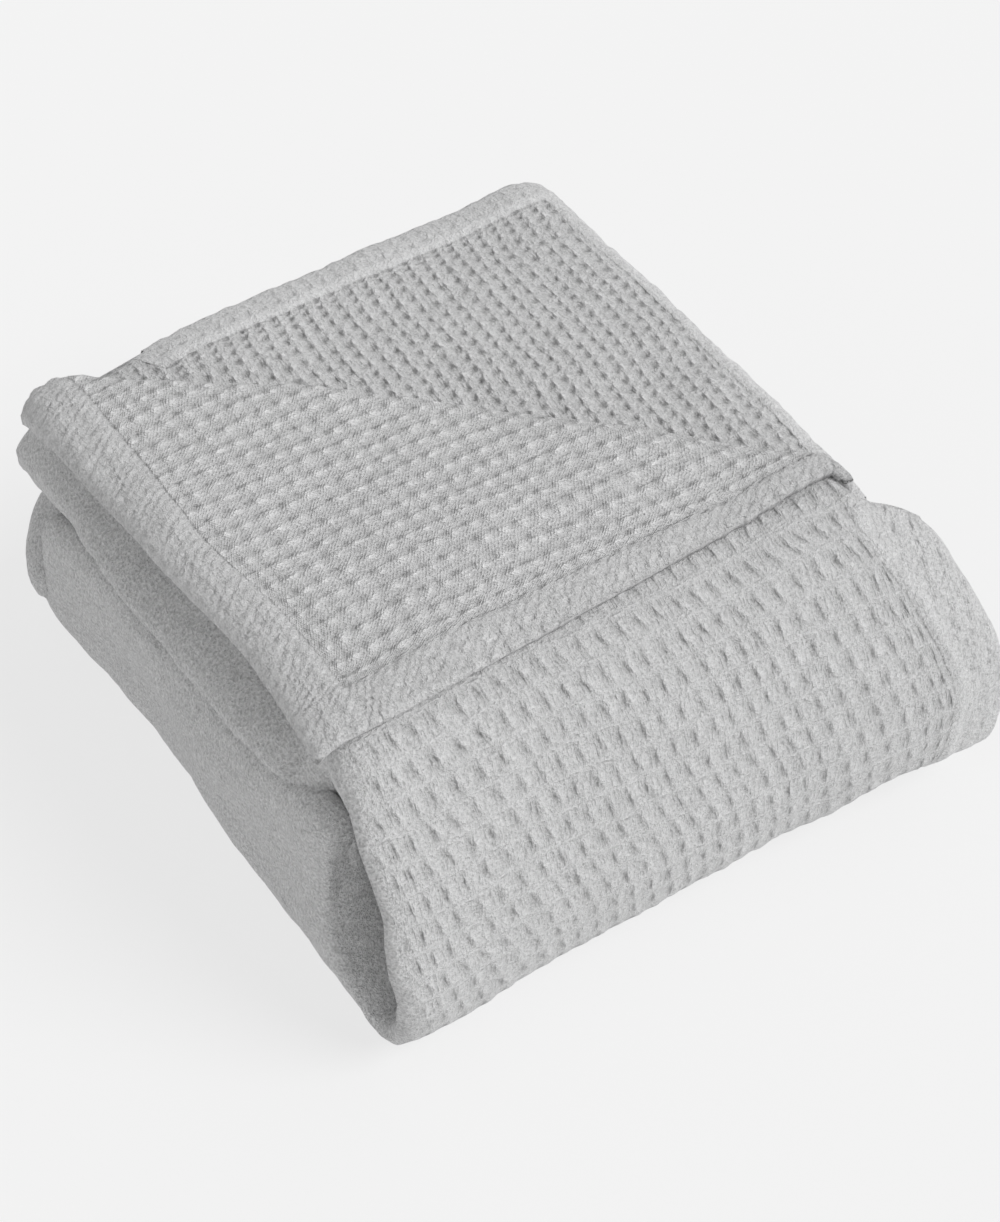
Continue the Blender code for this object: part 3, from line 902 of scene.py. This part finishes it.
class Nodes:
    """Builds a shader from sockets and numbers."""

    def __init__(self, material):
        material.use_nodes = True
        self.tree = material.node_tree
        self.shader = self.tree.nodes["Principled BSDF"]

    def new(self, kind, **settings):
        node = self.tree.nodes.new(kind)
        for name, value in settings.items():
            setattr(node, name, value)
        return node

    def put(self, socket, value):
        if isinstance(value, bpy.types.NodeSocket):
            self.tree.links.new(value, socket)
        else:
            socket.default_value = value

    def math(self, operation, *values):
        node = self.new("ShaderNodeMath", operation=operation)
        for socket, value in zip(node.inputs, values):
            self.put(socket, value)
        return node.outputs[0]

    def add(self, a, b):
        return self.math("ADD", a, b)

    def mul(self, a, b):
        return self.math("MULTIPLY", a, b)

    def total(self, terms):
        """The sum of values, each by its weight."""
        parts = [self.mul(value, weight) for value, weight in terms if weight]
        out = parts[0]
        for part in parts[1:]:
            out = self.add(out, part)
        return out

    def totals(self, parts):
        """The sums of values by their first and by their second weight."""
        return [self.total([(value, pair[k]) for value, pair in parts]) for k in (0, 1)]

    def bell(self, value, width):
        """1 at zero, falling off over width."""
        square = self.math("POWER", self.math("DIVIDE", value, width), 2.0)
        return self.math("EXPONENT", self.mul(square, -1.0))

    def mix(self, share, a, b):
        node = self.new("ShaderNodeMix", data_type="FLOAT")
        self.put(node.inputs[0], share)
        self.put(node.inputs[2], a)
        self.put(node.inputs[3], b)
        return node.outputs[0]

    def threads(self, uv, width, length, seed):
        """Short irregular threads of that width across and length along, about -0.5 to 0.5."""
        node = self.new("ShaderNodeVectorMath", operation="MULTIPLY")
        self.put(node.inputs[0], uv)
        node.inputs[1].default_value = (1.0 / width, 1.0 / length, 1.0)
        return self.noise(node.outputs[0], THREAD_SCALE, seed, 1.0)

    def smooth(self, value, outer, inner):
        """0 at outer and 1 at inner, with soft ends."""
        node = self.new("ShaderNodeMapRange", interpolation_type="SMOOTHSTEP")
        self.put(node.inputs["Value"], value)
        self.put(node.inputs["From Min"], outer)
        self.put(node.inputs["From Max"], inner)
        return node.outputs[0]

    def noise(self, vector, scale, seed, detail=2.0):
        """Soft noise, about -0.5 to 0.5."""
        shifted = self.new("ShaderNodeVectorMath", operation="ADD")
        self.put(shifted.inputs[0], vector)
        shifted.inputs[1].default_value = (seed, seed, seed)
        node = self.new("ShaderNodeTexNoise")
        self.put(node.inputs["Vector"], shifted.outputs[0])
        node.inputs["Scale"].default_value = scale
        node.inputs["Detail"].default_value = detail
        return self.add(node.outputs["Fac"], -0.5)

    def wander(self, value, spot, moves):
        for scale, seed, far in moves:
            value = self.add(value, self.mul(self.noise(spot, scale, seed), far))
        return value

    def attribute(self, name):
        return self.new("ShaderNodeAttribute", attribute_name=name).outputs["Fac"]

    def wave(self, value, length):
        return self.math("SINE", self.mul(value, 2 * math.pi / length))


def repeat(n, across, along, size):
    """The distances from a repeat's middle, in repeats: across without its sign, along, and the
    share of the way across from one middle to the next."""
    width, height, shift, lean = size
    rows = n.math("DIVIDE", along, height * MM)
    row = n.math("FLOOR", rows)
    q = n.add(n.math("FRACT", rows), -0.5)
    p = n.add(n.math("DIVIDE", across, width * MM), n.mul(row, -shift))
    p = n.add(p, n.mul(q, -lean))
    return n.math("PINGPONG", p, 0.5), q, n.math("FRACT", p)


def woven_parts(n, across, along, size, parts):
    """The parts of a weave's repeat with their relief and painted shade, and the distance along it.
    """
    p, q, way = repeat(n, across, along, size)
    found = []
    for at_x, at_y, width, height, high, painted_shade in parts:
        x = n.add(way, -at_x) if at_x else p
        y = n.add(q, -at_y) if at_y else q
        found.append((n.mul(n.bell(x, width), n.bell(y, height)), (high, painted_shade)))
    return found, q


def cotton():
    material = bpy.data.materials.new("waffle_cotton")
    n = Nodes(material)
    uv = n.new("ShaderNodeUVMap", uv_map="weave").outputs[0]
    apart = n.new("ShaderNodeSeparateXYZ")
    n.put(apart.inputs[0], uv)
    spot = n.new("ShaderNodeTexCoord").outputs["Object"]
    across = n.wander(apart.outputs[0], spot, WANDER_ACROSS)
    along = n.wander(apart.outputs[1], spot, WANDER_ALONG)
    seam = n.attribute("seam")
    band = n.smooth(seam, *HEM_START)
    pitted, reverse, calm = (n.attribute(name) for name in ("pitted", "reverse", "calm"))
    upright = n.threads(uv, THREAD_WIDTH, THREAD_LENGTH, UPRIGHT_SEED)
    level = n.threads(uv, THREAD_LENGTH, THREAD_WIDTH, LEVEL_SEED)
    fuzz, grain, lumps = (n.noise(spot, *kind) for kind in (FUZZ, GRAIN, LUMPS))

    # The face: slits between upright blocks, and a level ridge from row to row
    parts, q = woven_parts(n, across, along, FACE, FACE_PARTS)
    between = n.bell(n.add(n.math("ABSOLUTE", q), -0.5), BETWEEN_WIDTH)
    parts += [(between, BETWEEN), (n.mix(between, upright, level), FACE_THREADS)]
    face, painted_shade = n.totals(parts)

    # The same weave drawn together, with round pits under nubs
    parts, _ = woven_parts(n, across, along, PITTED, PITTED_PARTS)
    pits, pits_painted_shade = n.totals(parts + [(upright, PITTED_THREADS)])

    # The reverse: short raised floats along the rows, over a close crossed weave
    parts, _ = woven_parts(n, across, along, REVERSE, REVERSE_PARTS)
    cross = n.mul(n.wave(across, CROSS_ACROSS), n.wave(along, CROSS_ALONG))
    back, back_painted_shade = n.totals(parts + [(cross, REVERSE_CROSS), (level, REVERSE_THREADS)])

    # A hem: ribs across the turned corner's, pits along its edge, smooth beside its stitches
    ribs = n.wave(n.add(along, n.mul(across, RIB_LEAN)), RIB * MM)
    on_face, on_pitted, on_reverse = HEM_RIBS
    rib_height = n.mix(reverse, n.mix(pitted, on_face, on_pitted), on_reverse)
    rough = n.mul(n.mul(pits, HEM_PITS), n.smooth(seam, *HEM_ROUGH))
    hem = n.add(n.add(n.mul(ribs, rib_height), rough), n.mul(upright, HEM_THREADS))
    beside = n.bell(n.add(seam, -BESIDE_AT), BESIDE_WIDTH)
    threads = n.wave(n.add(along, across), STITCH_PITCH)
    depth = n.add(LINE_DEPTH, n.total([(threads, LINE_THREADS), (lumps, LINE_LUMPS)]))
    line = n.mul(n.bell(seam, STITCH_WIDTH), depth)

    woven = n.mix(reverse, n.mix(pitted, face, pits), back)
    woven = n.mix(n.mul(calm, CALM), woven, 0.0)
    woven = n.mix(band, woven, hem)
    # Fuzz, grain and lumps vary the tone at random; the stitches' line is painted shade in their
    # groove, and the strip beside it is painted a little lighter
    parts = [(fuzz, FUZZ_ADDS), (grain, GRAIN_ADDS), (lumps, LUMPS_ADD)]
    loose, loose_tone_and_painted_shade = n.totals(parts + [(line, LINE_ADDS), (beside, BESIDE_ADDS)])
    bump = n.new("ShaderNodeBump")
    bump.inputs["Strength"].default_value = 1.0
    bump.inputs["Distance"].default_value = BUMP
    n.put(bump.inputs["Height"], n.add(woven, loose))
    n.put(n.shader.inputs["Normal"], bump.outputs[0])

    # Painted shade: the weave's slits, pits, hollows and the shadow about the slits are painted
    # darker, its blocks, nubs, floats and raised threads lighter, less so on the folds and on the
    # hems
    painted_shade = n.mix(reverse, n.mix(pitted, painted_shade, pits_painted_shade), back_painted_shade)
    painted_shade = n.mul(painted_shade, n.add(1.0, n.total([(calm, -CALM), (band, -HEM_FLATNESS)])))
    shade = n.math("SUBTRACT", 1.0, n.add(painted_shade, loose_tone_and_painted_shade))
    shade = n.add(shade, n.mul(calm, n.total([(lumps, CALM_LUMPS), (grain, CALM_GRAIN)])))
    # The hems are painted lighter on the face and darker on the reverse, as light and shade fall on
    # them
    shade = n.add(shade, n.mul(band, n.mix(reverse, *HEM_PAINTED_LIGHT_AND_SHADE)))
    shade = n.mul(shade, n.add(1.0, n.mul(n.noise(spot, *TONE_DRIFT), TONE_DRIFT_SHARE)))
    shade = n.mul(shade, n.add(1.0, n.mul(n.add(reverse, pitted), LIGHTER)))
    colour = n.new("ShaderNodeCombineColor")
    for socket, tone in zip(colour.inputs, CLOTH_TONE):
        n.put(socket, n.mul(shade, tone))
    n.put(n.shader.inputs["Base Color"], colour.outputs[0])
    n.shader.inputs["Roughness"].default_value = 0.95
    n.shader.inputs["Specular IOR Level"].default_value = 0.15
    n.shader.inputs["Sheen Weight"].default_value = 0.2
    n.shader.inputs["Sheen Roughness"].default_value = 0.6
    return material


# ---------------------------------------------------------------- stage

def add_floor():
    bm = bmesh.new()
    corners = ((-FLOOR_SIZE, -FLOOR_SIZE), (FLOOR_SIZE, -FLOOR_SIZE),
               (FLOOR_SIZE, FLOOR_SIZE), (-FLOOR_SIZE, FLOOR_SIZE))
    bm.faces.new([bm.verts.new((x, y, -FLOOR_DROP)) for x, y in corners])
    mesh = bpy.data.meshes.new("floor")
    bm.to_mesh(mesh)
    bm.free()
    floor = bpy.data.objects.new("floor", mesh)
    bpy.context.scene.collection.objects.link(floor)
    material = bpy.data.materials.new("pale_floor")
    n = Nodes(material)
    n.shader.inputs["Base Color"].default_value = (FLOOR_TONE, FLOOR_TONE, FLOOR_TONE, 1.0)
    n.shader.inputs["Emission Color"].default_value = WHITE
    n.shader.inputs["Emission Strength"].default_value = FLOOR_GLOW
    n.shader.inputs["Roughness"].default_value = 0.9
    floor.data.materials.append(material)


def add_sun():
    """Broad light from the right, the front and above."""
    light = bpy.data.lights.new("broad_light", "SUN")
    light.energy = SUN_ENERGY
    light.angle = math.radians(SUN_ANGLE)
    sun = bpy.data.objects.new("broad_light", light)
    sun.rotation_euler = Vector(SUN_FROM).to_track_quat("Z", "Y").to_euler()
    bpy.context.scene.collection.objects.link(sun)


def add_camera():
    azimuth, elevation = math.radians(AZIMUTH), math.radians(ELEVATION)
    look = Vector((
        math.sin(azimuth) * math.cos(elevation),
        math.cos(azimuth) * math.cos(elevation),
        -math.sin(elevation),
    ))
    data = bpy.data.cameras.new("camera")
    data.sensor_fit = "HORIZONTAL"
    data.sensor_width = SENSOR
    data.lens = LENS
    camera = bpy.data.objects.new("camera", data)
    camera.location = (Vector(TARGET) + Vector(SHIFT)) * MM - look * DISTANCE
    camera.rotation_euler = look.to_track_quat("-Z", "Y").to_euler()
    bpy.context.scene.collection.objects.link(camera)
    bpy.context.scene.camera = camera


def add_world():
    world = bpy.data.worlds.new("studio")
    world.use_nodes = True
    background = world.node_tree.nodes["Background"]
    background.inputs["Color"].default_value = WHITE
    background.inputs["Strength"].default_value = WORLD_STRENGTH
    bpy.context.scene.world = world


add_camera()
add_world()
add_floor()
add_sun()
bpy.context.scene.view_settings.view_transform = "Standard"
cloth = add_cloth()
cloth.data.materials.append(cotton())
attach(cloth, "root")
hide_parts("blanket")
